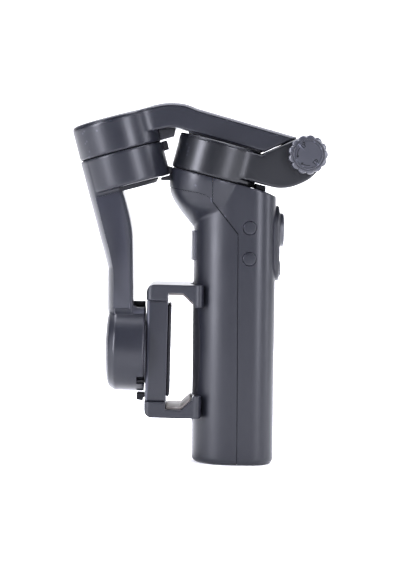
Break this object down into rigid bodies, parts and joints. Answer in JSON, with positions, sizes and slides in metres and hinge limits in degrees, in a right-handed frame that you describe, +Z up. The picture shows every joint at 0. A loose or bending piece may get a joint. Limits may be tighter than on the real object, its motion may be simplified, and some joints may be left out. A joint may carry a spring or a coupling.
{
  "type": "gimbal stabilizer",
  "caption": "Folding three-axis handheld phone gimbal, stowed: grip with thumb controls, angled motor arms and a sprung phone clamp resting against the grip.",
  "frame": {"origin": "mouth of the tripod socket, in the middle of the foot of the handle", "axes": "+Z up the handle, +X towards the thumb controls at the back, +Y across the grip away from the lock knob"},
  "size_m": [0.1257, 0.0447, 0.1787],
  "materials": {
    "grip_plastic": "fine moulded grain, semi-matte",
    "arm_plastic": "fine moulded grain, semi-matte",
    "panel_plastic": "smooth matte",
    "black_rubber": "matte",
    "jaw_rubber": "matte, ribbed",
    "control_plastic": "satin",
    "steel": "machined",
    "hub_metal": "anodised",
    "brass": "machined",
    "circuit_board": "solder mask",
    "battery_wrap": "shrink wrap",
    "light_pipe": "clear, moulded"
  },
  "bodies": {
    "handle": {"front_shell": "grip_plastic", "rear_shell": "grip_plastic", "head_collar": "grip_plastic", "control_bezel": "panel_plastic", "front_grip_pad": "black_rubber", "tripod_insert": "brass", "battery_cell": "battery_wrap", "battery_holder": "panel_plastic", "main_board": "circuit_board", "button_board": "circuit_board", "joystick_base": "panel_plastic", "charge_port": "steel", "status_light": "light_pipe", "shell_screws": "steel", "pan_stator": "steel", "pan_bearings": "steel", "stow_bumper": "black_rubber", "pan_rest_block": "black_rubber", "trigger_switch": "panel_plastic"},
    "trigger": {"trigger": "control_plastic"},
    "mode_button": {"mode_button": "control_plastic"},
    "side_button_upper": {"side_button_upper": "control_plastic"},
    "side_button_lower": {"side_button_lower": "control_plastic"},
    "joystick_ring": {"joystick_ring": "steel"},
    "joystick": {"joystick": "control_plastic"},
    "pan_head": {"pan_housing": "arm_plastic", "pan_top_cover": "arm_plastic", "pan_magnet_ring": "steel", "pan_shaft": "steel", "hinge_bolt": "steel"},
    "lock_knob": {"lock_knob": "control_plastic", "knob_cap": "control_plastic"},
    "main_arm": {"main_arm": "arm_plastic", "arm_cover": "arm_plastic", "hinge_bush": "brass", "tilt_stator": "steel", "tilt_bearings": "steel", "tilt_stop_block": "black_rubber"},
    "tilt_arm": {"tilt_arm": "arm_plastic", "tilt_arm_panels": "panel_plastic", "tilt_bottom_cap": "panel_plastic", "tilt_magnet_ring": "steel", "tilt_shaft": "steel", "tilt_stop_pin": "black_rubber", "roll_end_cap": "arm_plastic", "roll_stator": "steel", "roll_bearings": "steel", "roll_rest_bar": "black_rubber"},
    "clamp": {"roll_hub": "hub_metal", "roll_magnet_ring": "steel", "roll_shaft": "steel", "clamp_body": "arm_plastic", "clamp_cover": "arm_plastic", "clamp_pad": "black_rubber", "roll_stop_hook": "black_rubber", "jaw_spring": "steel"},
    "upper_jaw": {"upper_jaw": "arm_plastic", "upper_jaw_pad": "jaw_rubber"},
    "lower_jaw": {"lower_jaw": "arm_plastic", "lower_jaw_pad": "jaw_rubber"}
  },
  "joints": [
    {"name": "pan_turn", "type": "hinge", "parent": "handle", "child": "pan_head", "pos_m": [-0.0115, 0, 0.1425], "axis": [0.247, 0, 0.969], "range_deg": [-160, 160]},
    {"name": "fold_hinge", "type": "hinge", "parent": "pan_head", "child": "main_arm", "pos_m": [0.035, 0, 0.1539], "axis": [0, 1, 0], "range_deg": [0, 135]},
    {"name": "tilt_turn", "type": "hinge", "parent": "main_arm", "child": "tilt_arm", "pos_m": [-0.0569, 0, 0.1547], "axis": [-0.2622, 0, 0.965], "range_deg": [-120, 160]},
    {"name": "roll_turn", "type": "hinge", "parent": "tilt_arm", "child": "clamp", "pos_m": [-0.0304, 0, 0.0564], "axis": [0.9999, 0, -0.014], "range_deg": [-150, 150]},
    {"name": "upper_jaw_slide", "type": "slide", "parent": "clamp", "child": "upper_jaw", "axis": [0.014, 0, 0.9999], "range_m": [0, 0.0115], "stiffness_N_per_m": 150, "springref_m": -0.02, "deforming": ["jaw_spring"]},
    {"name": "lower_jaw_slide", "type": "slide", "parent": "clamp", "child": "lower_jaw", "axis": [-0.014, 0, -0.9999], "range_m": [0, 0.0115]},
    {"name": "lock_knob_turn", "type": "hinge", "parent": "pan_head", "child": "lock_knob", "pos_m": [0.035, 0, 0.1539], "axis": [0, -1, 0], "range_deg": [0, 180]},
    {"name": "joystick_updown", "type": "hinge", "parent": "handle", "child": "joystick_ring", "pos_m": [0.0166, 0, 0.1166], "axis": [0, 1, 0], "range_deg": [-9, 9], "stiffness_Nm_per_rad": 0.02},
    {"name": "joystick_sideways", "type": "hinge", "parent": "joystick_ring", "child": "joystick", "pos_m": [0.0166, 0, 0.1166], "axis": [0, 0, 1], "range_deg": [-9, 9], "stiffness_Nm_per_rad": 0.02},
    {"name": "trigger_pull", "type": "slide", "parent": "handle", "child": "trigger", "axis": [1, 0, 0], "range_m": [0, 0.0013], "stiffness_N_per_m": 900, "springref_m": -0.001},
    {"name": "mode_press", "type": "slide", "parent": "handle", "child": "mode_button", "axis": [-1, 0, 0], "range_m": [0, 0.0006], "stiffness_N_per_m": 900, "springref_m": -0.001},
    {"name": "side_press_upper", "type": "slide", "parent": "handle", "child": "side_button_upper", "axis": [0, 1, 0], "range_m": [0, 0.0004], "stiffness_N_per_m": 900, "springref_m": -0.001},
    {"name": "side_press_lower", "type": "slide", "parent": "handle", "child": "side_button_lower", "axis": [0, 1, 0], "range_m": [0, 0.0004], "stiffness_N_per_m": 900, "springref_m": -0.001}
  ],
  "couplings": [
    {"joint": "pan_turn", "follows": "fold_hinge", "ratio": -0.77556},
    {"joint": "tilt_turn", "follows": "fold_hinge", "ratio": 0.63222},
    {"joint": "roll_turn", "follows": "fold_hinge", "ratio": 0.52889},
    {"joint": "lower_jaw_slide", "follows": "upper_jaw_slide", "ratio": 1}
  ]
}
